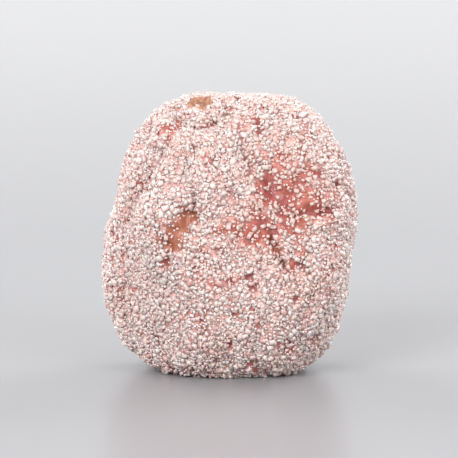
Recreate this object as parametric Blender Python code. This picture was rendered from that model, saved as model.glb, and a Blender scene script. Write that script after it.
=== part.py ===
"""One dried kumquat in its coat of sugar, standing on its pressed blossom end.

Metres, +Z up, front towards -Y. The fruit grew as one piece, so it is one solid: the body, the stem
end with its calyx, the drying folds and the crust of sugar grains are one closed surface. That surface
is made of many-sided cells. Each cell away from the stem end is raised into a leaning sugar block.
"""
import math
import random

import bmesh
import bpy
from mathutils import Vector, noise

MM = 0.001

# Body: half sizes of a squarish egg, from its middle
HALF_WIDTH = 11.0 * MM
HALF_FRONT = 9.7 * MM
HALF_BACK = 9.3 * MM
RISE = 11.9 * MM
DROP = 14.1 * MM
SQUARENESS = 2.6  # exponent of the outline: 2 is an ellipse, more is boxier

# The left side leans in towards the top and stands out lower down
FLARE = 0.11  # share of the half width
FLARE_REACH = 6.0 * MM

# The end that the fruit rests on was pressed flat
PRESSED = 1.1 * MM
FOOT_Z = PRESSED - DROP

# Dents where the soft fruit was pressed: the way each faces, its distance from the middle, its softness
DENTS = (
    (Vector((0.97, -0.20, -0.12)), 10.5 * MM, 0.7 * MM),
    (Vector((0.45, -0.80, 0.38)), 9.7 * MM, 0.9 * MM),
    (Vector((0.08, 0.02, 1.00)), 11.0 * MM, 0.7 * MM),
    (Vector((-0.62, -0.74, -0.26)), 9.8 * MM, 0.9 * MM),
    (Vector((-0.35, 0.90, 0.25)), 8.7 * MM, 0.8 * MM),
)

# Slow swells and hollows of the skin
SWELL = 0.42 * MM
SWELL_SIZE = 7.5 * MM
SWELL_SEED = Vector((3.1, 7.7, 1.9))

# Stem end: the way it faces, and its rings, from the middle of the calyx outwards
STEM_WAY = Vector((-0.23, -0.38, 0.895)).normalized()
SKIN_RADIUS = 11.0 * MM  # turns an angle from the stem into a distance along the skin
SCAR_RADIUS = 0.85 * MM
SCAR_FLOOR = 0.45  # share of the scar's radius where its floor is level
SCAR_DEPTH = 0.55 * MM
CALYX_RADIUS = 1.75 * MM
CALYX_HEIGHT = 0.62 * MM
CALYX_EDGE = 0.30 * MM  # half width of the slope at the calyx's rim
CALYX_LOBES = 5
LOBE_DEPTH = 0.35 * MM
MOAT_RADIUS = 2.2 * MM
MOAT_DEPTH = 0.80 * MM
COLLAR_RADIUS = 3.9 * MM
COLLAR_HEIGHT = 0.40 * MM
RING_WIDTH = 1.1 * MM  # half width of the moat and the collar

# Folds of the dried skin, which run from the stem end towards the other end
FOLD_TURNS = (0.04, 0.17, 0.31, 0.44, 0.56, 0.69, 0.80, 0.91)  # places round the stem, in turns
FOLD_DEPTHS = (0.55, 0.30, 0.60, 0.95, 0.70, 0.90, 0.50, 0.80)  # shares of FOLD_DEPTH
FOLD_DEPTH = 1.10 * MM
FOLD_WIDTH = 0.16  # radians round the stem
FOLD_WANDER = 0.22  # radians that a fold strays to each side
FOLD_WAVES = 2.2  # strays for each radian away from the stem
FOLD_PHASE = 1.7  # between one fold's straying and the next one's
FOLD_START = 0.28  # radians from the stem
FOLD_DEEPENS = 0.25  # radians over which a fold reaches its depth
FOLD_FADES = 0.85  # where it starts to fade
FOLD_END = 1.75

# Short creases: where each starts and ends, its depth, its half width in radians
CREASES = (
    (Vector((0.49, -0.84, 0.21)), Vector((0.82, -0.54, 0.19)), 0.40 * MM, 0.060),
    (Vector((-0.29, -0.91, 0.27)), Vector((-0.57, -0.81, -0.14)), 0.42 * MM, 0.080),
    (Vector((0.30, -0.88, 0.02)), Vector((0.44, -0.86, -0.30)), 0.34 * MM, 0.060),
    (Vector((0.86, 0.38, 0.34)), Vector((0.90, 0.44, -0.10)), 0.28 * MM, 0.070),
    (Vector((0.46, 0.80, 0.42)), Vector((0.60, 0.78, 0.02)), 0.30 * MM, 0.075),
    (Vector((-0.50, 0.80, 0.10)), Vector((-0.66, 0.72, -0.28)), 0.28 * MM, 0.070),
)
CREASE_DEEPEST = 0.42 * MM
CREASE_BARE = 0.85  # share of the blocks that the deepest crease loses
CREASE_FADES = 0.55  # share of half its length where a crease starts to fade
CREASE_END = 1.15

# Sugar crust: blocks larger than life, fewer where the skin shows bare
CELLS = 880
CELL_SHIFT = 0.95  # range over which a cell is moved from an even spread, in cell widths
SHORTEST_EDGE = 0.22 * MM
FIRST_INSET = 0.02 * MM  # parts a block's top from its cell before it is raised
GRAIN_LOW = 0.20 * MM
GRAIN_HIGH = 0.56 * MM
GRAIN_TOP = 0.78  # width of a block's top, as a share of its cell
GRAIN_LEAN = 0.22  # slope of the top at most
FULL_COVER = 0.96
BARE_CORE = 0.40  # a bare spot is barest inside this share of its half width
BARE_RIM = 1.25  # and the cover is full outside this one
BARE_SPOTS = (  # the way each faces, its half width in radians, the share of blocks left in its middle
    (Vector((0.50, -0.78, 0.36)), 0.40, 0.15),
    (Vector((0.20, -0.97, 0.10)), 0.30, 0.15),
    (Vector((-0.10, 0.95, 0.20)), 0.28, 0.30),
    (Vector((-0.93, 0.20, 0.25)), 0.22, 0.30),
    (Vector((0.80, 0.40, -0.45)), 0.20, 0.30),
)
SEED = 20

# The stem end's own cells stand in rings: how far from its middle, and how many
STEM_CELLS = (
    (0.00 * MM, 1),
    (0.60 * MM, 6),
    (1.10 * MM, 10),
    (1.60 * MM, 15),
    (2.15 * MM, 15),
    (2.75 * MM, 20),
)
STEM_CELLS_END = 3.1 * MM
STEM_CLEAR = 2.4 * MM  # no block stands nearer to the stem's middle
RING_JITTER = 0.10  # share of the space between two cells of a ring

# The other cells are finer near the stem end
GATHER = 0.76  # share of their width that they lose there
GATHER_REACH = 0.6  # radians

SHARP_EDGE = math.radians(30)
GOLDEN_ANGLE = math.pi * (3.0 - math.sqrt(5.0))
SUGARED_COLOUR = (0.72, 0.46, 0.42, 1.0)  # brick red seen through white sugar
SUGARED_ROUGHNESS = 0.45


def clear_scene():
    for obj in list(bpy.data.objects):
        bpy.data.objects.remove(obj, do_unlink=True)


def smooth_step(low, high, value):
    share = min(max((value - low) / (high - low), 0.0), 1.0)
    return share * share * (3.0 - 2.0 * share)


def bump(centre, width, value):
    """A rounded hill of height 1 at the centre, about twice the width across."""
    return math.exp(-(((value - centre) / width) ** 2))


def stem_frame():
    """Two directions square to the stem's, the first one level, to measure turns round it."""
    across = Vector((0.0, 0.0, 1.0)).cross(STEM_WAY).normalized()
    return across, STEM_WAY.cross(across)


def from_stem(direction, frame):
    """The angle from the stem, and the turn round it in radians."""
    across, along = frame
    angle = direction.angle(STEM_WAY, 0.0)
    return angle, math.atan2(direction.dot(along), direction.dot(across))


def egg_point(direction):
    """The smooth body: a squarish egg with different half sizes each way."""
    half_y = HALF_BACK if direction.y > 0 else HALF_FRONT
    half_z = RISE if direction.z > 0 else DROP
    power = (
        abs(direction.x / HALF_WIDTH) ** SQUARENESS
        + abs(direction.y / half_y) ** SQUARENESS
        + abs(direction.z / half_z) ** SQUARENESS
    )
    return direction * power ** (-1.0 / SQUARENESS)


def flared(point):
    share = smooth_step(0.0, HALF_WIDTH, -point.x)
    lean = 1.0 - FLARE * share * math.tanh(point.z / FLARE_REACH)
    return Vector((point.x * lean, point.y, point.z))


def dented(point):
    """Presses what stands past each dent's plane softly back towards it."""
    for way, distance, softness in DENTS:
        facing = way.normalized()
        past = point.dot(facing) - distance
        if past > 0.0:
            kept = softness * (1.0 - math.exp(-past / softness))
            point = point - facing * (past - kept)
    return point


def body_point(direction):
    return dented(flared(egg_point(direction)))


def swell(point):
    return SWELL * noise.noise(point / SWELL_SIZE + SWELL_SEED)


def folds(angle, turn):
    """Height of the skin in the long folds, from 0 down, at an angle from the stem and a turn round it."""
    reach = smooth_step(FOLD_START, FOLD_START + FOLD_DEEPENS, angle)
    reach *= 1.0 - smooth_step(FOLD_FADES, FOLD_END, angle)
    depth = 0.0
    for number, (place, share) in enumerate(zip(FOLD_TURNS, FOLD_DEPTHS)):
        centre = math.tau * place + FOLD_WANDER * math.sin(FOLD_WAVES * angle + FOLD_PHASE * number)
        apart = math.remainder(turn - centre, math.tau)
        depth += share * bump(0.0, FOLD_WIDTH, apart)
    return -FOLD_DEPTH * reach * depth


def near_crease(direction, start, end, width):
    """1 on the line of a crease, falling to 0 beside it and past its ends."""
    start, end = start.normalized(), end.normalized()
    middle = (start + end).normalized()
    if direction.dot(middle) < 0.0:
        return 0.0
    across = start.cross(end).normalized()
    along = abs(direction.dot(across.cross(middle)))
    half_length = (end - start).length / 2.0
    fade = 1.0 - smooth_step(CREASE_FADES * half_length, CREASE_END * half_length, along)
    return fade * bump(0.0, width, direction.dot(across))


def creases(direction):
    """Depth of the short creases in one direction."""
    return sum(depth * near_crease(direction, start, end, width) for start, end, depth, width in CREASES)


def stem_end(angle, turn):
    """Height of the calyx, with its scar and lobes, the moat round it and the collar round that."""
    distance = angle * SKIN_RADIUS
    rim = CALYX_RADIUS + LOBE_DEPTH * math.cos(CALYX_LOBES * turn)
    calyx = CALYX_HEIGHT * (1.0 - smooth_step(rim - CALYX_EDGE, rim + CALYX_EDGE, distance))
    scar = -SCAR_DEPTH * (1.0 - smooth_step(SCAR_FLOOR * SCAR_RADIUS, SCAR_RADIUS, distance))
    moat = -MOAT_DEPTH * bump(MOAT_RADIUS, RING_WIDTH, distance)
    collar = COLLAR_HEIGHT * bump(COLLAR_RADIUS, RING_WIDTH, distance)
    return calyx + scar + moat + collar


def stem_cells(draw):
    """Angles from the stem and turns round it of the stem end's own cells, ring by ring."""
    for number, (distance, count) in enumerate(STEM_CELLS):
        for place in range(count):
            step = place + number / 2.0 + RING_JITTER * draw.uniform(-1.0, 1.0)
            yield distance / SKIN_RADIUS, math.tau * step / count


def crust_cells(draw):
    """The same for the other cells: a spiral from the stem, each cell of it moved a little."""
    shift = CELL_SHIFT * math.sqrt(math.tau * 2.0 / CELLS)
    for number in range(CELLS):
        angle = math.acos(1.0 - 2.0 * (number + 0.5) / CELLS) + shift * draw.uniform(-0.5, 0.5)
        turn = GOLDEN_ANGLE * number + shift * draw.uniform(-0.5, 0.5) / max(math.sin(angle), shift)
        angle -= GATHER * math.sin(angle) * math.exp(-angle / GATHER_REACH)
        if angle * SKIN_RADIUS > STEM_CELLS_END:
            yield angle, turn


def cell_middles(draw, frame):
    """The direction of each cell's middle."""
    across, along = frame
    middles = []
    for angle, turn in (*stem_cells(draw), *crust_cells(draw)):
        side = across * math.cos(turn) + along * math.sin(turn)
        middles.append(STEM_WAY * math.cos(angle) + side * math.sin(angle))
    return middles


def cell_mesh(middles):
    """A closed mesh of a sphere, with one many-sided face round each middle."""
    hull = bmesh.new()
    for middle in middles:
        hull.verts.new(middle)
    bmesh.ops.convex_hull(hull, input=hull.verts[:])
    cells = bmesh.new()
    corners = {face: cells.verts.new(face.normal.normalized()) for face in hull.faces}
    for vertex in hull.verts:
        across = vertex.co.orthogonal().normalized()
        along = vertex.co.cross(across)
        ring = sorted(
            (corners[face] for face in vertex.link_faces),
            key=lambda corner: math.atan2(corner.co.dot(along), corner.co.dot(across)),
        )
        cells.faces.new(ring)
    hull.free()
    return cells


def shape_body(mesh, frame):
    """Turns the sphere into the body, then gives it its swells, folds, creases and stem end."""
    ways = {vertex: vertex.co.normalized() for vertex in mesh.verts}
    for vertex, way in ways.items():
        vertex.co = body_point(way)
    mesh.normal_update()
    places = {vertex: (vertex.co.copy(), vertex.normal.copy()) for vertex in mesh.verts}
    for vertex, (point, normal) in places.items():
        angle, turn = from_stem(ways[vertex], frame)
        height = swell(point) + folds(angle, turn) + stem_end(angle, turn) - creases(ways[vertex])
        vertex.co = point + normal * height
    bmesh.ops.remove_doubles(mesh, verts=mesh.verts[:], dist=SHORTEST_EDGE)
    mesh.normal_update()


def cover(direction):
    """Share of the cells that hold a block: few on bare spots and in creases, none on the calyx."""
    if direction.angle(STEM_WAY, 0.0) * SKIN_RADIUS < STEM_CLEAR:
        return 0.0
    share = FULL_COVER
    for way, size, left in BARE_SPOTS:
        apart = direction.angle(way.normalized(), 0.0)
        full = smooth_step(BARE_CORE * size, BARE_RIM * size, apart)
        share = min(share, left + (FULL_COVER - left) * full)
    return share * (1.0 - CREASE_BARE * creases(direction) / CREASE_DEEPEST)


def raise_block(face, draw):
    """Turns a cell's inner face into the flat, leaning top of a sugar block."""
    middle = face.calc_center_median()
    normal = face.normal.copy()
    across = normal.orthogonal().normalized()
    along = normal.cross(across)
    height = draw.uniform(GRAIN_LOW, GRAIN_HIGH)
    lean = across * draw.uniform(-GRAIN_LEAN, GRAIN_LEAN) + along * draw.uniform(-GRAIN_LEAN, GRAIN_LEAN)
    for vertex in face.verts:
        outwards = (vertex.co - middle) * GRAIN_TOP
        outwards -= normal * outwards.dot(normal)
        vertex.co = middle + outwards + normal * (height + outwards.dot(lean))


def grow_crust(mesh, draw):
    grains = []
    for face in mesh.faces:
        if draw.random() < cover(face.calc_center_median().normalized()):
            grains.append(face)
    bmesh.ops.inset_individual(mesh, faces=grains, thickness=FIRST_INSET, depth=0.0)
    for face in grains:
        raise_block(face, draw)


def press_foot(mesh):
    """Cuts the lower end off level and closes it with one flat face."""
    parts = mesh.verts[:] + mesh.edges[:] + mesh.faces[:]
    cut = bmesh.ops.bisect_plane(
        mesh, geom=parts, plane_co=(0.0, 0.0, FOOT_Z), plane_no=(0.0, 0.0, -1.0), clear_outer=True
    )
    rim = [part for part in cut["geom_cut"] if isinstance(part, bmesh.types.BMEdge)]
    bmesh.ops.contextual_create(mesh, geom=rim)
    bmesh.ops.recalc_face_normals(mesh, faces=mesh.faces[:])


def stand_at_origin(mesh):
    """Puts the middle of the base of the fruit's box at the origin."""
    points = [vertex.co for vertex in mesh.verts]
    low = Vector([min(point[axis] for point in points) for axis in range(3)])
    high = Vector([max(point[axis] for point in points) for axis in range(3)])
    base = Vector(((low.x + high.x) / 2, (low.y + high.y) / 2, low.z))
    bmesh.ops.translate(mesh, verts=mesh.verts, vec=-base)


def sugared_skin():
    material = bpy.data.materials.new("sugared_skin")
    material.use_nodes = True
    shader = material.node_tree.nodes["Principled BSDF"]
    shader.inputs["Base Color"].default_value = SUGARED_COLOUR
    shader.inputs["Roughness"].default_value = SUGARED_ROUGHNESS
    shader.inputs["Metallic"].default_value = 0.0
    material.diffuse_color = SUGARED_COLOUR
    return material


def make_kumquat(collection):
    draw = random.Random(SEED)
    frame = stem_frame()
    mesh = cell_mesh(cell_middles(draw, frame))
    shape_body(mesh, frame)
    grow_crust(mesh, draw)
    press_foot(mesh)
    stand_at_origin(mesh)
    data = bpy.data.meshes.new("kumquat")
    mesh.to_mesh(data)
    mesh.free()
    data.materials.append(sugared_skin())
    data.shade_smooth()
    data.set_sharp_from_angle(angle=SHARP_EDGE)
    fruit = bpy.data.objects.new("kumquat", data)
    collection.objects.link(fruit)
    return fruit


def main():
    clear_scene()
    collection = bpy.data.collections.new("dried_kumquat")
    bpy.context.scene.collection.children.link(collection)
    make_kumquat(collection)


main()
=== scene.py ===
"""Looks of the dried, sugared kumquat: its fine skin, its stem end and its crust of sugar crystals."""
import math

import bmesh
import bpy
import numpy as np
from mathutils import Matrix, Vector, noise


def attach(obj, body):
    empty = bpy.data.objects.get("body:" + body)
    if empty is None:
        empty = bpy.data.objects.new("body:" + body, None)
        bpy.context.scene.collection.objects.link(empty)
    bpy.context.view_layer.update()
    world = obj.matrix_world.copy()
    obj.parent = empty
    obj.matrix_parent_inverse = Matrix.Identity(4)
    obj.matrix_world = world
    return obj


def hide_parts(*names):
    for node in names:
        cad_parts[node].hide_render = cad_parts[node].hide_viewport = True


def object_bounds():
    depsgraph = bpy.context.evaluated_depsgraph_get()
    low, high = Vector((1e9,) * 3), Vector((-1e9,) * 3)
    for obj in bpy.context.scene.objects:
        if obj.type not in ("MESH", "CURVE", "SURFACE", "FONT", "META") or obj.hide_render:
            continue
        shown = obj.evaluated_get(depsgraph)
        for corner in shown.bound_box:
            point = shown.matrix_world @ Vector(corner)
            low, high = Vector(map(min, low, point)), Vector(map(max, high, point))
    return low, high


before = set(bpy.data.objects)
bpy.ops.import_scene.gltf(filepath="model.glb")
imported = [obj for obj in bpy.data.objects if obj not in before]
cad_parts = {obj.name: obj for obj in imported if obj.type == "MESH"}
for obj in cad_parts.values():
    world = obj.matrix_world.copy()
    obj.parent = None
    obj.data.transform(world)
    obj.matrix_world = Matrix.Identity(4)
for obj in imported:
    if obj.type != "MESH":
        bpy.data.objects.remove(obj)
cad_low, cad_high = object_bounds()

MM = 0.001
NODE = "kumquat"

# The body, as the frame's solid has it: half sizes of a squarish egg, from its middle
HALF_WIDTH = 11.0 * MM
HALF_FRONT = 9.7 * MM
HALF_BACK = 9.3 * MM
RISE = 11.9 * MM
DROP = 14.1 * MM
SQUARENESS = 2.6  # power of the outline, where 2 is an ellipse
FLARE = 0.11  # share by which the left side is narrower at the top and wider at the bottom
FLARE_REACH = 6.0 * MM  # height over which that changes
PRESSED = 1.1 * MM  # depth by which the blossom end is pressed flat
FOOT_Z = PRESSED - DROP
FOOT_ROUNDING = 0.35 * MM
ROUNDING_REACH = 6.0  # roundings above the foot, from where the skin is left as it is
EXPONENT_LIMIT = 30.0  # keeps the exponential of the rounding finite

# Dents: the way each faces, its distance from the middle, its softness
DENTS = (
    ((0.97, -0.20, -0.12), 10.5 * MM, 0.7 * MM),
    ((0.45, -0.80, 0.38), 9.7 * MM, 0.9 * MM),
    ((0.08, 0.02, 1.00), 11.0 * MM, 0.7 * MM),
    ((-0.62, -0.74, -0.26), 9.8 * MM, 0.9 * MM),
    ((-0.35, 0.90, 0.25), 8.7 * MM, 0.8 * MM),
)
SWELL = 0.42 * MM
SWELL_SIZE = 7.5 * MM
NORMAL_STEP = 0.004  # radians to each side of a point, for the slope of the body there

# Places in the noise, so that no two of its uses look alike
SWELL_SEED = (3.1, 7.7, 1.9)
PIT_SEED = (8.0, 2.0, 5.0)
BED_SEED = (1.0, 6.0, 2.0)
BARE_EDGE_SEED = (2.0, 9.0, 4.0)
PATCH_SEED = (6.0, 1.0, 3.0)
STAIN_SEED = (5.0, 3.0, 7.0)
CALYX_SEED = (4.0, 4.0, 4.0)

# Stem end, from the middle of the calyx outwards
STEM_WAY = (-0.23, -0.38, 0.895)
SKIN_RADIUS = 11.0 * MM
SCAR_RADIUS = 0.85 * MM
SCAR_FLOOR = 0.45  # radius of its flat floor, as a share of the scar's
SCAR_DEPTH = 0.42 * MM
SCAR_LIP = 0.14 * MM
SCAR_LIP_WIDTH = 0.16 * MM
SCAR_TEARS = 7  # round the lip
SCAR_TEAR_DEPTH = 0.5  # share of the lip's height
SCAR_EDGE = 1.25  # where its colour ends, as a share of the scar's radius
SCAR_EDGE_STRAYS = 0.22 * MM
SCAR_COVER = 0.03  # chance of a crystal on it
VEIN_RADIUS = 0.40 * MM  # the dark ring of bundles in the scar
VEIN_WIDTH = 0.35  # share of its radius
VEIN_STRENGTH = 0.8
CALYX_RADIUS = 1.75 * MM
CALYX_HEIGHT = 0.55 * MM
CALYX_TIP_HEIGHT = 0.16 * MM
CALYX_ROOT = 0.60 * MM  # depth to which its rim goes into the skin
CALYX_COVER = 0.95  # chance of a crystal on it, outside the scar
CALYX_GRAIN = 0.35 * MM
CALYX_ROUGHNESS = 0.05 * MM
CALYX_LOBES = 5
LOBE_DEPTH = 0.24 * MM
LOBE_SHARPNESS = 1.4
RIB_HEIGHT = 0.07 * MM  # along the middle of each lobe
CALYX_SPOKES = 120
CALYX_RINGS = 34
CALYX_SKIRT = 4  # rings below the rim
MOAT_RADIUS = 2.2 * MM
MOAT_DEPTH = 0.80 * MM
COLLAR_RADIUS = 3.9 * MM
COLLAR_HEIGHT = 0.40 * MM
RING_WIDTH = 1.1 * MM  # half width of the moat and the collar

# Folds of drying, from the stem end towards the other end
FOLD_TURNS = (0.04, 0.17, 0.31, 0.44, 0.56, 0.69, 0.80, 0.91)  # places round the stem, in turns
FOLD_DEPTHS = (0.55, 0.30, 0.60, 0.95, 0.70, 0.90, 0.50, 0.80)  # shares of FOLD_DEPTH
FOLD_DEPTH = 1.10 * MM
FOLD_WIDTH = 0.16  # radians round the stem
FOLD_WANDER = 0.22  # radians that a fold strays to each side
FOLD_WAVES = 2.2  # strays for each radian away from the stem
FOLD_PHASE = 1.7  # between one fold's straying and the next one's
FOLD_START = 0.28  # radians from the stem
FOLD_DEEPENS = 0.25  # radians over which a fold reaches its depth
FOLD_FADES = 0.85  # where it starts to fade
FOLD_END = 1.75
FOLD_SHADE = 0.8  # how strongly the deepest fold darkens the skin's colour with painted shade

# Short creases: where each starts and ends, its depth, its half width in radians, how brown it is
CREASES = (
    ((0.49, -0.84, 0.21), (0.82, -0.54, 0.19), 0.40 * MM, 0.040, 0.0),
    ((-0.29, -0.91, 0.27), (-0.57, -0.81, -0.14), 0.42 * MM, 0.080, 1.0),
    ((0.30, -0.88, 0.02), (0.44, -0.86, -0.30), 0.34 * MM, 0.040, 0.6),
    ((0.86, 0.38, 0.34), (0.90, 0.44, -0.10), 0.28 * MM, 0.070, 0.3),
    ((0.46, 0.80, 0.42), (0.60, 0.78, 0.02), 0.30 * MM, 0.075, 0.7),
    ((-0.50, 0.80, 0.10), (-0.66, 0.72, -0.28), 0.28 * MM, 0.070, 0.2),
)
CREASE_DEEPEST = 0.42 * MM
LIP_OFFSET = 2.0  # of the raised lip beside a crease, in half widths of the crease
LIP_WIDTH = 0.9
LIP_HEIGHT = 0.38  # share of the crease's depth
BROWN_WIDTH = 2.1  # of the brown round a crease, in its half widths too

# Swollen bands that the sugar covers best: where each starts and ends, its height, its half width
RIDGES = (
    ((-0.10, -0.86, 0.50), (-0.74, -0.65, 0.10), 0.34 * MM, 0.085),
    ((-0.30, 0.86, 0.45), (0.16, 0.95, 0.52), 0.26 * MM, 0.090),
)
RIDGE_COVER = 0.85  # share of the gaps in the crust that a ridge closes

# Creases and ridges waver and fade towards their ends
LINE_SWAY = 0.25  # in half widths of the line
LINE_WAVES = 3.0  # half waves of the sway in half a line
LINE_FADES = 0.55  # in half lengths of the line
LINE_END = 1.15

# Fine wrinkles: size across, depth, how much longer than wide, place in the noise
WRINKLES = (
    (2.6 * MM, 0.30 * MM, 2.2, (0.0, 1.7, 8.1)),
    (1.2 * MM, 0.12 * MM, 1.6, (5.3, 1.7, 8.1)),
)
WRINKLE_WIDTH = 0.16  # range of the noise, either side of zero, that a wrinkle takes
WRINKLE_START = 0.12  # radians from the stem
WRINKLE_FULL = 0.35

# Pits over the oil glands of the rind, which the sugar leaves open
PIT_SPACING = 1.65 * MM
PIT_RADIUS = 0.29  # share of the spacing
PIT_DEPTH = 0.14 * MM
PIT_POWER = 0.7  # below 1 for wider pits
PIT_STRENGTH = 0.65  # of a middling pit
PIT_VARIES = 1.1
PIT_VARIES_OVER = 1.7  # spacings
PIT_LEAST = 0.10

# Grainy bed of sugar dust on the skin
BED_HEIGHT = 0.07 * MM
BED_GRAIN = 0.30 * MM

# Where the crust is thin: the way each spot faces, its half width in radians, its middle's cover
BARE_SPOTS = (
    ((0.50, -0.78, 0.36), 0.40, 0.34),
    ((0.20, -0.97, 0.10), 0.30, 0.34),
    ((-0.10, 0.95, 0.20), 0.28, 0.46),
    ((-0.93, 0.20, 0.25), 0.22, 0.46),
    ((0.80, 0.40, -0.45), 0.20, 0.46),
)
BARE_CORE = 0.40  # a spot is barest inside this share of its half width
BARE_RIM = 1.25  # and the cover is full outside this one
BARE_EDGE_NOISE = 0.45  # share of the half width that a spot's edge strays
BARE_EDGE_SIZE = 1.5 * MM
PATCH_SIZE = 1.6 * MM  # of thinner patches all over the crust
PATCH_STRENGTH = 1.10
STAIN = 0.9  # how much syrup has stained the sugar in places
STAIN_SIZE = 3.6 * MM

# Shares of the crystals that places of each kind lose
CREASE_BARE = 0.85
BROWN_BARE = 0.50
HOLLOW_BARE = 0.40
PIT_BARE = 0.95
MOAT_BARE = 0.50
MOAT_BARE_WIDTH = 0.4  # share of RING_WIDTH

# Distances from the stem's middle up to which the skin has no crystal, and from which it has all
CALYX_CLEAR = 1.45 * MM
CALYX_CRUST = 1.95 * MM

# Flesh mesh: a ball of triangles, each edge cut again
SPHERE_STEPS = 5
EDGE_CUTS = 5
CHART_HALF = 0.46  # half width of a chart in its tile of the UV map

# Sugars: material, clearness, roughness
SUGARS = (
    ("sugar_clear", 0.45, 0.18),
    ("sugar_frost", 0.20, 0.30),
)

# Crystals: piece, sugar, number tried, least and greatest size, edges cut, spacing, stacking
CRYSTALS = (
    ("sugar_coarse", "sugar_clear", 7600, 0.40 * MM, 0.62 * MM, 4, 0.78, 0.10 * MM),
    ("sugar_middle_1", "sugar_clear", 13500, 0.27 * MM, 0.43 * MM, 2, 0.66, 0.18 * MM),
    ("sugar_middle_2", "sugar_clear", 15500, 0.20 * MM, 0.34 * MM, 2, 0.54, 0.22 * MM),
    ("sugar_fine_1", "sugar_frost", 18000, 0.12 * MM, 0.24 * MM, 0, 0.0, 0.14 * MM),
    ("sugar_fine_2", "sugar_frost", 18000, 0.09 * MM, 0.19 * MM, 0, 0.0, 0.30 * MM),
)
CRYSTAL_SHAPES = 12  # in each piece
CRYSTAL_WIDTHS = (0.62, 0.94)  # least and greatest, as shares of the length
CRYSTAL_HEIGHTS = (0.50, 0.80)
CRYSTAL_SHEARS = (0.05, 0.28)
CRYSTAL_WOBBLE = 0.05  # how far a corner strays
CRYSTAL_CUT = 0.20  # width of a cut edge, as a share of the length
CUT_VARIES = (0.6, 1.4)
CRYSTAL_LEAN = 0.38
CRYSTAL_RISE = 0.09  # height of its middle over the skin, as a share of its size
SMALL_SIZES = 1.5  # power that favours small crystals, where 1 is even
NEIGHBOUR_CELL = 0.8 * MM
ROOT_LOW = -0.05 * MM  # syrup has stained the crystals below this height over the skin, and painted shade darkens them there too
ROOT_HIGH = 0.28 * MM  # and left them clean above this one
PIECE_TRIANGLES = 195000  # at most
MILKINESS = 0.30  # share of the light in a crystal's white body that scatters below its surface
SEED = 41

# Colours of the skin: for each value of the slow noise and of the fine one, then of its parts
SKIN_TONES = (
    (0.30, (0.24, 0.030, 0.026)),
    (0.50, (0.36, 0.066, 0.042)),
    (0.72, (0.44, 0.150, 0.078)),
)
SKIN_TONE_SIZE = 3.2 * MM
SKIN_SPECKS = (
    (0.35, (0.18, 0.022, 0.022)),
    (0.65, (0.44, 0.105, 0.066)),
)
SKIN_SPECK_SIZE = 0.5 * MM
SPECK_SHARE = 0.40
# painted shade: the skin darkens towards this colour in its folds and creases
HOLLOW_SHADE_COLOUR = (0.19, 0.024, 0.026)
BROWN_COLOUR = (0.30, 0.088, 0.036)
PIT_COLOUR = (0.22, 0.050, 0.042)
BLOOM_COLOUR = (0.79, 0.56, 0.51)  # of the fine sugar on the skin
BLOOM_SIZE = 0.28 * MM

# Colours of the sugar: tints of single crystals, then the stains of syrup, and near the skin a tint that is
# partly syrup stain and partly painted shade
SUGAR_TINTS = (
    (0.00, (0.79, 0.47, 0.43)),
    (0.12, (0.89, 0.65, 0.61)),
    (0.45, (0.94, 0.77, 0.73)),
    (0.80, (0.95, 0.82, 0.77)),
    (1.00, (0.96, 0.87, 0.84)),
)
BLUSH_COLOUR = (0.92, 0.60, 0.51)  # on bare spots
ROOT_STAIN_AND_SHADE_COLOUR = (0.86, 0.53, 0.49)  # near the skin: partly a syrup stain, partly painted shade between the crystals

# Colours of the calyx
SCAR_TONES = (
    (0.32, (0.11, 0.040, 0.020)),
    (0.50, (0.30, 0.125, 0.060)),
    (0.68, (0.46, 0.230, 0.120)),
)
VEIN_COLOUR = (0.13, 0.045, 0.022)
CALYX_BLOOM_COLOUR = (0.80, 0.60, 0.55)

# Camera
ELEVATION = math.radians(7.0)
CAMERA_DISTANCE = 0.30
CLIP_START = 0.01
FRAME_HEIGHT = 41.0 * MM  # height that the picture shows at the fruit
SENSOR = 36.0

# Floor with a raised edge, and the light of the room
FLOOR_ROUGHNESS = 0.30
FLOOR_RADIUS = 0.36
BOWL_WIDTH = 0.30
BOWL_HEIGHT = 0.12
BOWL_STEPS = 24
BOWL_SPOKES = 96
# painted light and shade: the floor is painted darker near the middle and lighter up its raised edge, in
# place of light falling off
FLOOR_NEAR = 0.10
FLOOR_FAR = 0.50
FLOOR_SHADE_COLOUR = (0.275, 0.275, 0.285)
WALL_LIGHT_COLOUR = (0.455, 0.455, 0.461)
WORLD_COLOUR = (0.98, 0.985, 1.0)
WORLD_STRENGTH = 0.98

# Soft lights, far enough away to light the floor evenly: the way to each, its size, its power
LIGHT_DISTANCE = 2.5
LIGHTS = (
    ("key", (-0.42, -0.78, 0.45), 1.20, 62.0),
    ("fill", (0.60, -0.74, 0.36), 1.50, 35.0),
    ("back_left", (-0.66, 0.66, 0.36), 1.50, 45.0),
    ("back_right", (0.66, 0.66, 0.36), 1.50, 49.0),
)


def unit(vectors):
    vectors = np.asarray(vectors, float)
    return vectors / np.linalg.norm(vectors, axis=-1, keepdims=True)


def smooth_step(low, high, value):
    share = np.clip((value - low) / (high - low), 0.0, 1.0)
    return share * share * (3.0 - 2.0 * share)


def bump(centre, width, value):
    return np.exp(-(((value - centre) / width) ** 2))


def noise_at(points, size, seed, stretch=1.0):
    """Noise of a given size at each point, stretched along the stem's axis."""
    stem = unit(STEM_WAY)
    along = points @ stem
    places = (points - np.outer(along * (1.0 - 1.0 / stretch), stem)) / size + np.asarray(seed)
    return np.array([noise.noise(place) for place in places.tolist()])


def square_to(ways):
    """Two directions square to each way and to each other."""
    helper = np.where(np.abs(ways[:, 2:3]) < 0.9, (0.0, 0.0, 1.0), (1.0, 0.0, 0.0))
    across = unit(np.cross(helper, ways))
    return across, np.cross(ways, across)


def stem_frame():
    stem = unit(STEM_WAY)
    across, along = square_to(stem[None, :])
    return stem, across[0], along[0]


def from_stem(ways):
    """The angle of each way from the stem, and its turn round it."""
    stem, across, along = stem_frame()
    angle = np.arccos(np.clip(ways @ stem, -1.0, 1.0))
    return angle, np.arctan2(ways @ along, ways @ across)


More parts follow.
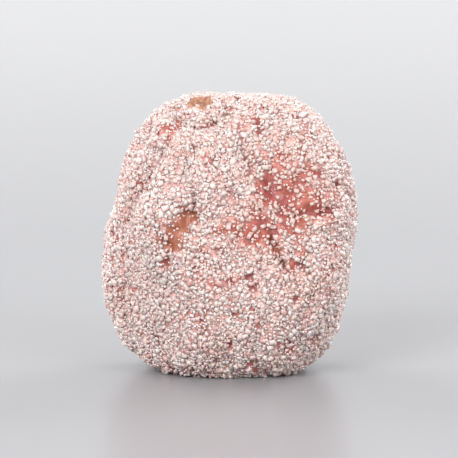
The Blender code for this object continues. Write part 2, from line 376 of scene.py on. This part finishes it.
def body_points(ways):
    """The smooth body: a squarish egg, flared on its left and dented."""
    half_y = np.where(ways[:, 1] > 0, HALF_BACK, HALF_FRONT)
    half_z = np.where(ways[:, 2] > 0, RISE, DROP)
    halves = np.stack([np.full(len(ways), HALF_WIDTH), half_y, half_z], axis=1)
    power = (np.abs(ways / halves) ** SQUARENESS).sum(axis=1)
    points = ways * (power ** (-1.0 / SQUARENESS))[:, None]
    share = smooth_step(0.0, HALF_WIDTH, -points[:, 0])
    points[:, 0] *= 1.0 - FLARE * share * np.tanh(points[:, 2] / FLARE_REACH)
    for way, distance, softness in DENTS:
        facing = unit(way)
        past = np.maximum(points @ facing - distance, 0.0)
        kept = softness * (1.0 - np.exp(-past / softness))
        points -= np.outer(past - kept, facing)
    return points


def body_normals(ways):
    across, along = square_to(ways)
    slopes = []
    for side in (across, along):
        step = NORMAL_STEP * side
        slopes.append(body_points(unit(ways + step)) - body_points(unit(ways - step)))
    return unit(np.cross(*slopes))


def swell(points):
    return SWELL * noise_at(points, SWELL_SIZE, SWELL_SEED)


def folds(angle, turn):
    """How deep the folds of drying lie, in metres."""
    reach = smooth_step(FOLD_START, FOLD_START + FOLD_DEEPENS, angle)
    reach = reach * (1.0 - smooth_step(FOLD_FADES, FOLD_END, angle))
    depth = np.zeros_like(angle)
    for number, (place, share) in enumerate(zip(FOLD_TURNS, FOLD_DEPTHS)):
        centre = math.tau * place + FOLD_WANDER * np.sin(FOLD_WAVES * angle + FOLD_PHASE * number)
        apart = (turn - centre + math.pi) % math.tau - math.pi
        depth += share * bump(0.0, FOLD_WIDTH, apart)
    return FOLD_DEPTH * reach * depth


def stem_rings(angle):
    """The moat round the calyx and the collar round that."""
    distance = angle * SKIN_RADIUS
    moat = -MOAT_DEPTH * bump(MOAT_RADIUS, RING_WIDTH, distance)
    return moat + COLLAR_HEIGHT * bump(COLLAR_RADIUS, RING_WIDTH, distance)


def beside_line(ways, start, end, width):
    """How far each way lies beside a short line on the skin, and 1 along it, falling to 0 past its ends."""
    start, end = unit(start), unit(end)
    middle = unit(start + end)
    across = unit(np.cross(start, end))
    along = ways @ unit(np.cross(across, middle))
    half_length = np.linalg.norm(end - start) / 2.0
    sway = LINE_SWAY * width * np.sin(LINE_WAVES * math.pi * along / half_length)
    beside = ways @ across + sway
    ends = 1.0 - smooth_step(LINE_FADES * half_length, LINE_END * half_length, np.abs(along))
    return beside, ends * ((ways @ middle) > 0.0)


def creases(ways):
    """How deep the short creases lie, how near each point is to the bottom of one, and how brown."""
    depth, nearest, brown = np.zeros((3, len(ways)))
    for start, end, most, width, tan in CREASES:
        beside, ends = beside_line(ways, start, end, width)
        near = bump(0.0, width, beside) * ends
        lips = bump(LIP_OFFSET * width, LIP_WIDTH * width, np.abs(beside)) * ends
        depth += most * (near - LIP_HEIGHT * lips)
        nearest = np.maximum(nearest, near * most / CREASE_DEEPEST)
        brown = np.maximum(brown, bump(0.0, BROWN_WIDTH * width, beside) * ends * tan)
    return depth, nearest, brown


def ridges(ways):
    """How high the swollen bands stand, and how near each point is to the top of one."""
    height, nearest = np.zeros((2, len(ways)))
    for start, end, most, width in RIDGES:
        beside, ends = beside_line(ways, start, end, width)
        near = bump(0.0, width, beside) * ends
        height += most * near
        nearest = np.maximum(nearest, near)
    return height, nearest


def wrinkles(points, angle):
    """How deep the fine wrinkles lie, which run where slow noise changes sign."""
    depth = np.zeros(len(points))
    for size, most, stretch, seed in WRINKLES:
        depth += most * bump(0.0, WRINKLE_WIDTH, noise_at(points, size, seed, stretch))
    return depth * smooth_step(WRINKLE_START, WRINKLE_FULL, angle)


def pits(points):
    """How near each point is to the bottom of a pit."""
    nearest = np.array([noise.voronoi(place)[0][0] for place in (points / PIT_SPACING).tolist()])
    strength = PIT_STRENGTH + PIT_VARIES * noise_at(points, PIT_VARIES_OVER * PIT_SPACING, PIT_SEED)
    return bump(0.0, PIT_RADIUS, nearest) ** PIT_POWER * np.clip(strength, PIT_LEAST, 1.0)


def bare_spots(ways, points):
    """How bare each point is, from 0 to 1 in a spot's middle, and the cover that the spots leave."""
    bare, cover = np.zeros(len(ways)), np.ones(len(ways))
    edge = BARE_EDGE_NOISE * noise_at(points, BARE_EDGE_SIZE, BARE_EDGE_SEED)
    for way, size, left in BARE_SPOTS:
        apart = np.arccos(np.clip(ways @ unit(way), -1.0, 1.0)) / size + edge
        share = 1.0 - smooth_step(BARE_CORE, BARE_RIM, apart)
        bare = np.maximum(bare, share)
        cover = np.minimum(cover, 1.0 - (1.0 - left) * share)
    return bare, cover


def crust_cover(points, angle, cover, fold, near_crease, brown, near_ridge, pit):
    """Chance of a crystal at each point: low on bare spots and in hollows, none under the calyx."""
    distance = angle * SKIN_RADIUS
    patches = np.minimum(noise_at(points, PATCH_SIZE, PATCH_SEED), 0.0)
    cover = cover * (1.0 + PATCH_STRENGTH * patches)
    cover *= 1.0 - HOLLOW_BARE * np.clip(fold / FOLD_DEPTH, 0.0, 1.0)
    cover *= 1.0 - PIT_BARE * pit
    cover += RIDGE_COVER * near_ridge * (1.0 - cover)
    cover *= 1.0 - CREASE_BARE * near_crease
    cover *= 1.0 - BROWN_BARE * brown
    cover *= 1.0 - MOAT_BARE * bump(MOAT_RADIUS, MOAT_BARE_WIDTH * RING_WIDTH, distance)
    return np.clip(cover, 0.0, 1.0) * smooth_step(CALYX_CLEAR, CALYX_CRUST, distance)


def set_down(points):
    """Presses the foot flat and puts it at height 0."""
    over = points[:, 2] - FOOT_Z
    exponent = np.clip(over / FOOT_ROUNDING, -EXPONENT_LIMIT, EXPONENT_LIMIT)
    rounded = FOOT_ROUNDING * np.log1p(np.exp(exponent))
    points[:, 2] = np.where(over > ROUNDING_REACH * FOOT_ROUNDING, over, rounded)
    return points


def new_object(name, data, material):
    data.materials.append(material)
    piece = bpy.data.objects.new(name, data)
    bpy.context.scene.collection.objects.link(piece)
    return piece


def float_attribute(data, name, values):
    attribute = data.attributes.new(name, "FLOAT", "POINT")
    attribute.data.foreach_set("value", np.asarray(values, np.float32))


def read_attribute(data, name):
    values = np.empty(len(data.vertices))
    data.attributes[name].data.foreach_get("value", values)
    return values


def sphere_data():
    mesh = bmesh.new()
    bmesh.ops.create_icosphere(mesh, subdivisions=SPHERE_STEPS, radius=1.0)
    bmesh.ops.subdivide_edges(mesh, edges=mesh.edges[:], cuts=EDGE_CUTS, use_grid_fill=True)
    data = bpy.data.meshes.new("kumquat_flesh")
    mesh.to_mesh(data)
    mesh.free()
    return data


def vertex_array(data, field="co"):
    values = np.empty(len(data.vertices) * 3)
    data.vertices.foreach_get(field, values)
    return values.reshape(-1, 3)


def corner_array(data):
    """The three corners of each triangle of a mesh of triangles."""
    corners = np.empty(len(data.loops), np.int64)
    data.loops.foreach_get("vertex_index", corners)
    return corners.reshape(-1, 3)


def cube_charts(data, ways):
    """A UV map for baking: each face of a cube round the fruit has its own square."""
    corners = corner_array(data)
    middles = ways[corners].sum(axis=1)
    axis = np.abs(middles).argmax(axis=1)
    positive = middles[np.arange(len(middles)), axis] > 0
    others = np.array(((1, 2), (0, 2), (0, 1)))[axis]
    chart = axis * 2 + positive
    depth = np.abs(ways[corners, axis[:, None]])
    places = np.stack([ways[corners, others[:, None, side]] for side in (0, 1)], axis=2)
    places = 0.5 + CHART_HALF * places / depth[:, :, None]
    offset = np.stack([chart % 3, chart // 3], axis=1)[:, None, :]
    uv = (places + offset) / np.array((3.0, 2.0))
    layer = data.uv_layers.new(name="OFBake")
    layer.data.foreach_set("uv", uv.astype(np.float32).ravel())


def make_flesh(material):
    """The skin of the fruit, with its folds, creases, wrinkles and pits as real shape."""
    data = sphere_data()
    ways = unit(vertex_array(data))
    points = body_points(ways)
    angle, turn = from_stem(ways)
    fold = folds(angle, turn)
    crease, near_crease, brown = creases(ways)
    ridge, near_ridge = ridges(ways)
    pit = pits(points)
    bare, cover = bare_spots(ways, points)
    cover = crust_cover(points, angle, cover, fold, near_crease, brown, near_ridge, pit)
    height = swell(points) + stem_rings(angle) + ridge - fold - crease - wrinkles(points, angle)
    height += BED_HEIGHT * cover * noise_at(points, BED_GRAIN, BED_SEED) - PIT_DEPTH * pit
    finished = set_down(points + body_normals(ways) * height[:, None])
    data.vertices.foreach_set("co", finished.astype(np.float32).ravel())
    # painted shade: how much the folds and creases darken the skin's colour
    painted_hollow_shade = np.maximum(FOLD_SHADE * fold / FOLD_DEPTH, near_crease)
    float_attribute(data, "painted_hollow_shade", np.clip(painted_hollow_shade, 0.0, 1.0))
    float_attribute(data, "brown", brown)
    float_attribute(data, "pit", pit)
    float_attribute(data, "crust", cover)
    stain = STAIN * np.clip(noise_at(points, STAIN_SIZE, STAIN_SEED), 0.0, 1.0)
    float_attribute(data, "bare", np.clip(bare + stain, 0.0, 1.0) * (1.0 - near_ridge))
    cube_charts(data, ways)
    data.update()
    data.shade_smooth()
    return new_object("kumquat_flesh", data, material)


def calyx_height(distance, turn, rim):
    """Height of the calyx over the skin: thick in the middle, thin at the tips, with a torn scar."""
    share = distance / rim
    dome = np.sqrt(np.clip(1.0 - share**2, 0.0, 1.0))
    body = CALYX_TIP_HEIGHT + (CALYX_HEIGHT - CALYX_TIP_HEIGHT) * dome
    rib = RIB_HEIGHT * np.cos(CALYX_LOBES * turn) * share * (1.0 - share) * 4.0
    tears = 1.0 + SCAR_TEAR_DEPTH * np.sin(SCAR_TEARS * turn + 1.0)
    lip = SCAR_LIP * bump(SCAR_RADIUS, SCAR_LIP_WIDTH, distance) * tears
    scar = -SCAR_DEPTH * (1.0 - smooth_step(SCAR_FLOOR * SCAR_RADIUS, SCAR_RADIUS, distance))
    return body + rib + lip + scar


def calyx_grid():
    """Ways, heights over the skin and distances from the middle, ring by ring, with a skirt below."""
    stem, across, along = stem_frame()
    ring, spoke = np.divmod(np.arange((CALYX_RINGS + CALYX_SKIRT + 1) * CALYX_SPOKES), CALYX_SPOKES)
    turn = math.tau * spoke / CALYX_SPOKES
    lobe = np.abs(np.cos(CALYX_LOBES * turn / 2.0)) ** LOBE_SHARPNESS
    rim = CALYX_RADIUS + LOBE_DEPTH * (2.0 * lobe - 1.0)
    distance = rim * np.minimum(ring / CALYX_RINGS, 1.0)
    below = np.maximum(ring - CALYX_RINGS, 0) / CALYX_SKIRT
    angle = distance / SKIN_RADIUS
    side = np.cos(turn)[:, None] * across + np.sin(turn)[:, None] * along
    ways = np.cos(angle)[:, None] * stem + np.sin(angle)[:, None] * side
    height = calyx_height(distance, turn, rim) * (1.0 - below) - CALYX_ROOT * below
    return ways, height, distance


def calyx_faces():
    """The faces between the rings of the grid, and one that closes the skirt below."""
    faces = []
    for ring in range(CALYX_RINGS + CALYX_SKIRT):
        for spoke in range(CALYX_SPOKES):
            after = (spoke + 1) % CALYX_SPOKES
            inner, outer = ring * CALYX_SPOKES, (ring + 1) * CALYX_SPOKES
            faces.append((inner + spoke, outer + spoke, outer + after, inner + after))
    last = (CALYX_RINGS + CALYX_SKIRT) * CALYX_SPOKES
    faces.append(tuple(last + spoke for spoke in reversed(range(CALYX_SPOKES))))
    return faces


def make_calyx(material):
    """The dry five-lobed calyx that is left at the stem end, with the scar of the broken stalk."""
    ways, height, distance = calyx_grid()
    points = body_points(ways)
    base = swell(points) + stem_rings(from_stem(ways)[0])
    rough = noise_at(points, CALYX_GRAIN, CALYX_SEED)
    edge = distance + SCAR_EDGE_STRAYS * rough
    scar = 1.0 - smooth_step(SCAR_RADIUS, SCAR_EDGE * SCAR_RADIUS, edge)
    height = base + height + CALYX_ROUGHNESS * rough
    points = set_down(points + body_normals(ways) * height[:, None])
    data = bpy.data.meshes.new("calyx")
    data.from_pydata(points.tolist(), [], calyx_faces())
    float_attribute(data, "scar", scar)
    float_attribute(data, "vein", VEIN_STRENGTH * bump(VEIN_RADIUS, VEIN_WIDTH * VEIN_RADIUS, distance))
    float_attribute(data, "crust", SCAR_COVER + (CALYX_COVER - SCAR_COVER) * (1.0 - scar))
    float_attribute(data, "bare", 0.1 + 0.9 * scar)
    mesh = bmesh.new()
    mesh.from_mesh(data)
    bmesh.ops.remove_doubles(mesh, verts=mesh.verts[:], dist=0.001 * MM)
    bmesh.ops.triangulate(mesh, faces=mesh.faces[:])
    bmesh.ops.recalc_face_normals(mesh, faces=mesh.faces[:])
    mesh.to_mesh(data)
    mesh.free()
    data.shade_smooth()
    return new_object("calyx", data, material)


def stand_at_origin(flesh, calyx):
    """Moves both so that the middle of the fruit's base is at the origin, as in the frame."""
    points = vertex_array(flesh.data)
    middle = (points.min(axis=0) + points.max(axis=0)) / 2.0
    for piece in (flesh, calyx):
        piece.data.transform(Matrix.Translation((-middle[0], -middle[1], 0.0)))


def crystal_shape(draw, cuts):
    """One crystal about 1 long, as points and triangles: a leaning block with some edges cut off."""
    mesh = bmesh.new()
    bmesh.ops.create_cube(mesh, size=1.0)
    cut = []
    for edge in mesh.edges:
        middle = (edge.verts[0].co + edge.verts[1].co) * 2.0
        long_edge = abs(middle.x) < 0.1 and middle.y * middle.z > 0.1
        end_edge = abs(middle.z) < 0.1 and middle.x * middle.y > 0.1
        if (cuts >= 2 and long_edge) or (cuts >= 4 and end_edge):
            cut.append(edge)
    if cut:
        bmesh.ops.bevel(
            mesh, geom=cut, offset=CRYSTAL_CUT * draw.uniform(*CUT_VARIES), segments=1,
            affect="EDGES", clamp_overlap=True,
        )
    width, height = draw.uniform(*CRYSTAL_WIDTHS), draw.uniform(*CRYSTAL_HEIGHTS)
    shear = draw.uniform(*CRYSTAL_SHEARS)
    for vertex in mesh.verts:
        wobble = draw.uniform(-CRYSTAL_WOBBLE, CRYSTAL_WOBBLE, 3)
        vertex.co.x += shear * vertex.co.z + wobble[0]
        vertex.co.y = vertex.co.y * width + wobble[1]
        vertex.co.z = vertex.co.z * height + wobble[2]
    bmesh.ops.triangulate(mesh, faces=mesh.faces[:])
    mesh.verts.index_update()
    points = np.array([vertex.co[:] for vertex in mesh.verts])
    triangles = np.array([[vertex.index for vertex in face.verts] for face in mesh.faces])
    mesh.free()
    return points, triangles


class Ground:
    """The triangles that crystals grow on, of several pieces, with their crust and bareness."""

    def __init__(self, pieces):
        meshes = [piece.data for piece in pieces]
        starts = np.cumsum([0] + [len(data.vertices) for data in meshes])
        self.corners = np.concatenate([corner_array(data) + start for data, start in zip(meshes, starts)])
        self.places = np.concatenate([vertex_array(data) for data in meshes])
        self.normals = np.concatenate([vertex_array(data, "normal") for data in meshes])
        self.crust = np.concatenate([read_attribute(data, "crust") for data in meshes])
        self.bare = np.concatenate([read_attribute(data, "bare") for data in meshes])
        first, second, third = (self.places[self.corners[:, side]] for side in range(3))
        area = np.linalg.norm(np.cross(second - first, third - first), axis=1)
        self.chances = area / area.sum()

    def spots(self, count, draw):
        """Places at random by area, kept in step with the crust, each with its way up and bareness."""
        chosen = self.corners[draw.choice(len(self.corners), size=count, p=self.chances)]
        weights = draw.dirichlet((1.0, 1.0, 1.0), count)
        kept = draw.random(count) < (self.crust[chosen] * weights).sum(axis=1)
        chosen, weights = chosen[kept], weights[kept]
        places = (self.places[chosen] * weights[:, :, None]).sum(axis=1)
        ups = unit((self.normals[chosen] * weights[:, :, None]).sum(axis=1))
        return places, ups, (self.bare[chosen] * weights).sum(axis=1)


def spaced(spots, sizes, share, taken):
    """Which spots stand clear of those taken before, by a share of their sizes."""
    kept = []
    for number, (spot, size) in enumerate(zip(spots.tolist(), sizes.tolist())):
        key = tuple(math.floor(value / NEIGHBOUR_CELL) for value in spot)
        near = (
            other
            for x in (-1, 0, 1) for y in (-1, 0, 1) for z in (-1, 0, 1)
            for other in taken.get((key[0] + x, key[1] + y, key[2] + z), ())
        )
        if all(math.dist(spot, place) > share * (size + width) / 2.0 for place, width in near):
            taken.setdefault(key, []).append((spot, size))
            kept.append(number)
    return kept


def crystal_bases(ups, draw):
    """Axes for each crystal: its third leans a little away from the skin's normal."""
    third = unit(ups + draw.normal(0.0, CRYSTAL_LEAN, ups.shape))
    first = unit(np.cross(draw.normal(size=ups.shape), third))
    return np.stack([first, np.cross(third, first), third], axis=2)


def tile_map(data, islands):
    """A UV map for baking: each crystal has its own tile, which its triangles share."""
    across = math.ceil(math.sqrt(islands.max() + 1))
    low = np.stack([islands % across, islands // across], axis=1)[:, None, :]
    corners = np.array(((0.1, 0.1), (0.9, 0.1), (0.1, 0.9)))[None, :, :]
    layer = data.uv_layers.new(name="OFBake")
    layer.data.foreach_set("uv", ((low + corners) / across).astype(np.float32).ravel())


def triangle_data(name, points, triangles):
    """A mesh of the given points and triangles."""
    data = bpy.data.meshes.new(name)
    data.vertices.add(len(points))
    data.vertices.foreach_set("co", points.astype(np.float32).ravel())
    data.loops.add(len(triangles) * 3)
    data.loops.foreach_set("vertex_index", triangles.astype(np.int32).ravel())
    data.polygons.add(len(triangles))
    data.polygons.foreach_set("loop_start", np.arange(0, len(triangles) * 3, 3, dtype=np.int32))
    data.update(calc_edges=True)
    return data


def make_crystals(name, ground, draw, taken, material, tries, least, most, cuts, share, stack):
    """One piece of sugar: many crystals of about one size, set on the ground at random."""
    shapes = [crystal_shape(draw, cuts) for _ in range(CRYSTAL_SHAPES)]
    spots, ups, bare = ground.spots(tries, draw)
    sizes = least + (most - least) * draw.random(len(spots)) ** SMALL_SIZES
    kept = spaced(spots, sizes, share, taken) if share else list(range(len(spots)))
    kept = kept[:PIECE_TRIANGLES // len(shapes[0][1])]
    spots, ups, bare, sizes = spots[kept], ups[kept], bare[kept], sizes[kept]
    rise = CRYSTAL_RISE * sizes + stack * draw.random(len(spots)) ** 2
    centres = spots + ups * rise[:, None]
    bases = crystal_bases(ups, draw)
    which = draw.integers(0, CRYSTAL_SHAPES, len(spots))
    points, triangles, islands, blush, root_stains_and_shades, start = [], [], [], [], [], 0
    for number, (shape, faces) in enumerate(shapes):
        chosen = np.flatnonzero(which == number)
        turned = np.einsum("kij,nj->kni", bases[chosen], shape) * sizes[chosen, None, None]
        points.append((turned + centres[chosen, None, :]).reshape(-1, 3))
        # painted shade and syrup stain: the crystals are tinted darker near the skin
        heights = np.einsum("kni,ki->kn", turned, ups[chosen]) + rise[chosen, None]
        root_stains_and_shades.append(1.0 - smooth_step(ROOT_LOW, ROOT_HIGH, heights).ravel())
        offsets = start + len(shape) * np.arange(len(chosen))
        triangles.append((faces[None, :, :] + offsets[:, None, None]).reshape(-1, 3))
        islands.append(np.repeat(chosen, len(faces)))
        blush.append(np.repeat(bare[chosen], len(shape)))
        start += len(shape) * len(chosen)
    points, triangles = np.concatenate(points), np.concatenate(triangles)
    points[:, 2] = np.maximum(points[:, 2], 0.0)
    data = triangle_data(name, points, triangles)
    float_attribute(data, "blush", np.concatenate(blush))
    float_attribute(data, "root", np.concatenate(root_stains_and_shades))
    tile_map(data, np.concatenate(islands))
    return new_object(name, data, material)


class Nodes:
    """Short ways to add and link nodes of one material."""

    def __init__(self, name):
        self.material = bpy.data.materials.new(name)
        self.material.use_nodes = True
        self.tree = self.material.node_tree
        self.shader = self.tree.nodes["Principled BSDF"]

    def add(self, kind, **settings):
        node = self.tree.nodes.new(kind)
        for key, value in settings.items():
            setattr(node, key, value)
        return node

    def link(self, source, target):
        self.tree.links.new(source, target)

    def place(self):
        """Object coordinates, in metres."""
        return self.add("ShaderNodeTexCoord").outputs["Object"]

    def noise(self, size, detail=3.0, roughness=0.55, distortion=0.0):
        node = self.add("ShaderNodeTexNoise")
        node.inputs["Scale"].default_value = 1.0 / size
        node.inputs["Detail"].default_value = detail
        node.inputs["Roughness"].default_value = roughness
        node.inputs["Distortion"].default_value = distortion
        self.link(self.place(), node.inputs["Vector"])
        return node.outputs["Fac"]

    def attribute(self, name):
        return self.add("ShaderNodeAttribute", attribute_name=name).outputs["Fac"]

    def ramp(self, source, stops):
        """A colour or grey for each value: stops are (value, colour)."""
        node = self.add("ShaderNodeValToRGB")
        elements = node.color_ramp.elements
        while len(elements) < len(stops):
            elements.new(0.5)
        for element, (value, colour) in zip(elements, stops):
            element.position = value
            element.color = (*colour, 1.0)
        self.link(source, node.inputs["Fac"])
        return node.outputs["Color"]

    def mix(self, share, first, second):
        node = self.add("ShaderNodeMix", data_type="RGBA")
        for socket, value in ((node.inputs[0], share), (node.inputs[6], first), (node.inputs[7], second)):
            if isinstance(value, tuple):
                socket.default_value = (*value, 1.0)
            elif isinstance(value, float):
                socket.default_value = value
            else:
                self.link(value, socket)
        return node.outputs[2]

    def math(self, operation, first, second):
        node = self.add("ShaderNodeMath", operation=operation)
        for socket, value in zip(node.inputs, (first, second)):
            if isinstance(value, float):
                socket.default_value = value
            else:
                self.link(value, socket)
        return node.outputs[0]

    def bump(self, height, distance, strength=1.0, after=None):
        node = self.add("ShaderNodeBump")
        node.inputs["Strength"].default_value = strength
        node.inputs["Distance"].default_value = distance
        self.link(height, node.inputs["Height"])
        if after is not None:
            self.link(after, node.inputs["Normal"])
        return node.outputs["Normal"]


def grey(value):
    return (value, value, value)


def flesh_material():
    """Brick-red dried skin: amber on the swells, wine-dark painted shade in the folds and creases, with a
    bloom of fine sugar.
    """
    nodes = Nodes("dried_skin")
    shader = nodes.shader
    tones = nodes.ramp(nodes.noise(SKIN_TONE_SIZE, 4.0, 0.6), SKIN_TONES)
    specks = nodes.ramp(nodes.noise(SKIN_SPECK_SIZE, 3.0, 0.6), SKIN_SPECKS)
    colour = nodes.mix(SPECK_SHARE, tones, specks)
    # painted shade: darker in the folds and creases
    painted_hollow_shade = nodes.ramp(nodes.attribute("painted_hollow_shade"), ((0.20, grey(0.0)), (0.85, grey(0.70))))
    colour = nodes.mix(painted_hollow_shade, colour, HOLLOW_SHADE_COLOUR)
    brown = nodes.ramp(nodes.attribute("brown"), ((0.10, grey(0.0)), (0.80, grey(0.90))))
    colour = nodes.mix(brown, colour, BROWN_COLOUR)
    bloom = nodes.ramp(nodes.noise(BLOOM_SIZE, 4.0, 0.7), ((0.36, grey(0.32)), (0.56, grey(1.0))))
    cover = nodes.ramp(nodes.attribute("crust"), ((0.25, grey(0.05)), (0.80, grey(0.92))))
    frost = nodes.math("MULTIPLY", bloom, cover)
    colour = nodes.mix(frost, colour, BLOOM_COLOUR)
    pit = nodes.ramp(nodes.attribute("pit"), ((0.25, grey(0.0)), (0.70, grey(0.85))))
    colour = nodes.mix(pit, colour, PIT_COLOUR)
    nodes.link(colour, shader.inputs["Base Color"])
    rough = nodes.ramp(frost, ((0.0, grey(0.32)), (1.0, grey(0.75))))
    nodes.link(rough, shader.inputs["Roughness"])
    large = nodes.bump(nodes.noise(0.55 * MM, 4.0, 0.6), 0.12 * MM, 0.8)
    nodes.link(nodes.bump(bloom, 0.05 * MM, 0.7, after=large), shader.inputs["Normal"])
    shader.inputs["Subsurface Weight"].default_value = 0.15
    shader.inputs["Subsurface Radius"].default_value = (1.0, 0.30, 0.20)
    shader.inputs["Subsurface Scale"].default_value = 0.6 * MM
    shader.inputs["Coat Weight"].default_value = 0.25
    shader.inputs["Coat Roughness"].default_value = 0.22
    shader.inputs["IOR"].default_value = 1.45
    return nodes.material


def sugar_material(name, clearness, roughness):
    """Clear to milky sugar, stained by the fruit: each crystal has its own tint, darker near the skin,
    partly from syrup stain and partly as painted shade.
    """
    nodes = Nodes(name)
    shader = nodes.shader
    chance = nodes.add("ShaderNodeNewGeometry").outputs["Random Per Island"]
    colour = nodes.ramp(chance, SUGAR_TINTS)
    blush = nodes.ramp(nodes.attribute("blush"), ((0.05, grey(0.0)), (1.00, grey(0.60))))
    colour = nodes.mix(blush, colour, BLUSH_COLOUR)
    # darker near the skin: partly a syrup stain, partly painted shade between the crystals
    root = nodes.ramp(nodes.attribute("root"), ((0.10, grey(0.0)), (1.00, grey(0.62))))
    colour = nodes.mix(root, colour, ROOT_STAIN_AND_SHADE_COLOUR)
    nodes.link(colour, shader.inputs["Base Color"])
    surface = nodes.noise(0.16 * MM, 3.0, 0.6)
    rough = nodes.ramp(surface, ((0.3, grey(roughness * 0.7)), (0.7, grey(roughness * 1.5))))
    nodes.link(rough, shader.inputs["Roughness"])
    nodes.link(nodes.bump(surface, 0.02 * MM, 0.5), shader.inputs["Normal"])
    shader.inputs["Transmission Weight"].default_value = clearness
    shader.inputs["Subsurface Weight"].default_value = MILKINESS
    shader.inputs["Subsurface Radius"].default_value = (1.0, 0.70, 0.62)
    shader.inputs["Subsurface Scale"].default_value = 0.30 * MM
    shader.inputs["IOR"].default_value = 1.54
    return nodes.material


def calyx_material():
    """Dry tan-brown scar in a calyx that is frosted over with fine sugar."""
    nodes = Nodes("dry_calyx")
    shader = nodes.shader
    brown = nodes.ramp(nodes.noise(0.30 * MM, 4.0, 0.70, 0.6), SCAR_TONES)
    brown = nodes.mix(nodes.attribute("vein"), brown, VEIN_COLOUR)
    bloom = nodes.ramp(nodes.noise(0.22 * MM, 4.0, 0.7), ((0.34, grey(0.15)), (0.54, grey(0.90))))
    scar = nodes.ramp(nodes.attribute("scar"), ((0.0, grey(1.0)), (1.0, grey(0.10))))
    frost = nodes.math("MULTIPLY", bloom, scar)
    nodes.link(nodes.mix(frost, brown, CALYX_BLOOM_COLOUR), shader.inputs["Base Color"])
    fibre = nodes.noise(0.12 * MM, 4.0, 0.7)
    nodes.link(nodes.ramp(fibre, ((0.3, grey(0.60)), (0.7, grey(0.85)))), shader.inputs["Roughness"])
    nodes.link(nodes.bump(fibre, 0.05 * MM, 0.8), shader.inputs["Normal"])
    return nodes.material


def floor_material():
    """A pale sheet painted darker near the middle and lighter towards its raised edge: painted shade on the
    floor and painted light up the edge.
    """
    nodes = Nodes("pale_floor")
    distance = nodes.add("ShaderNodeVectorMath", operation="LENGTH")
    nodes.link(nodes.place(), distance.inputs[0])
    surface = nodes.ramp(
        distance.outputs["Value"], ((FLOOR_NEAR, FLOOR_SHADE_COLOUR), (FLOOR_FAR, WALL_LIGHT_COLOUR))
    )
    nodes.link(surface, nodes.shader.inputs["Base Color"])
    nodes.shader.inputs["Roughness"].default_value = FLOOR_ROUGHNESS
    return nodes.material


def make_stage():
    """A pale floor whose edge rises all round, well clear of the fruit."""
    profile = [(0.0, 0.0), (FLOOR_RADIUS, 0.0)]
    for step in range(1, BOWL_STEPS + 1):
        turn = math.pi / 2.0 * step / BOWL_STEPS
        profile.append((FLOOR_RADIUS + BOWL_WIDTH * math.sin(turn), BOWL_HEIGHT * (1.0 - math.cos(turn))))
    mesh = bmesh.new()
    points = [mesh.verts.new((radius, 0.0, height)) for radius, height in profile]
    edges = [mesh.edges.new(pair) for pair in zip(points, points[1:])]
    bmesh.ops.spin(
        mesh, geom=points + edges, axis=(0.0, 0.0, 1.0), cent=(0.0, 0.0, 0.0),
        angle=math.tau, steps=BOWL_SPOKES, use_merge=True,
    )
    bmesh.ops.remove_doubles(mesh, verts=mesh.verts[:], dist=0.01 * MM)
    bmesh.ops.recalc_face_normals(mesh, faces=mesh.faces[:])
    data = bpy.data.meshes.new("studio_floor")
    mesh.to_mesh(data)
    mesh.free()
    data.shade_smooth()
    new_object("studio_floor", data, floor_material())


def add_area(name, way, size, power):
    lamp = bpy.data.lights.new(name, "AREA")
    lamp.shape = "DISK"
    lamp.size = size
    lamp.energy = power
    light = bpy.data.objects.new(name, lamp)
    middle = (cad_low + cad_high) / 2
    back = Vector(way).normalized()
    light.location = middle + back * LIGHT_DISTANCE
    light.rotation_euler = back.to_track_quat("Z", "Y").to_euler()
    light.visible_camera = False
    bpy.context.scene.collection.objects.link(light)


def add_light():
    """A soft pale dome, a key from the upper left, a fill and two lights from behind."""
    for name, way, size, power in LIGHTS:
        add_area(name, way, size, power)
    world = bpy.data.worlds.new("soft_room")
    world.use_nodes = True
    background = world.node_tree.nodes["Background"]
    background.inputs["Color"].default_value = (*WORLD_COLOUR, 1.0)
    background.inputs["Strength"].default_value = WORLD_STRENGTH
    bpy.context.scene.world = world


def add_camera():
    middle = (cad_low + cad_high) / 2
    lens = bpy.data.cameras.new("camera")
    lens.sensor_width = SENSOR
    lens.lens = SENSOR * CAMERA_DISTANCE / FRAME_HEIGHT
    lens.clip_start = CLIP_START
    camera = bpy.data.objects.new("camera", lens)
    back = np.array((0.0, -math.cos(ELEVATION), math.sin(ELEVATION))) * CAMERA_DISTANCE
    camera.location = (middle.x + back[0], middle.y + back[1], middle.z + back[2])
    camera.rotation_euler = (math.pi / 2.0 - ELEVATION, 0.0, 0.0)
    bpy.context.scene.collection.objects.link(camera)
    bpy.context.scene.camera = camera


def dress():
    """Makes the flesh, the calyx and the sugar, and lets them ride on the frame."""
    draw = np.random.default_rng(SEED)
    flesh = make_flesh(flesh_material())
    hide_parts(NODE)
    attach(flesh, "root")
    calyx = make_calyx(calyx_material())
    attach(calyx, "root")
    stand_at_origin(flesh, calyx)
    ground = Ground((flesh, calyx))
    materials = {name: sugar_material(name, *looks) for name, *looks in SUGARS}
    taken = {}
    for name, sugar, *sizes in CRYSTALS:
        crystals = make_crystals(name, ground, draw, taken, materials[sugar], *sizes)
        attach(crystals, "root")


dress()
make_stage()
add_light()
add_camera()
bpy.context.scene.view_settings.view_transform = "Standard"
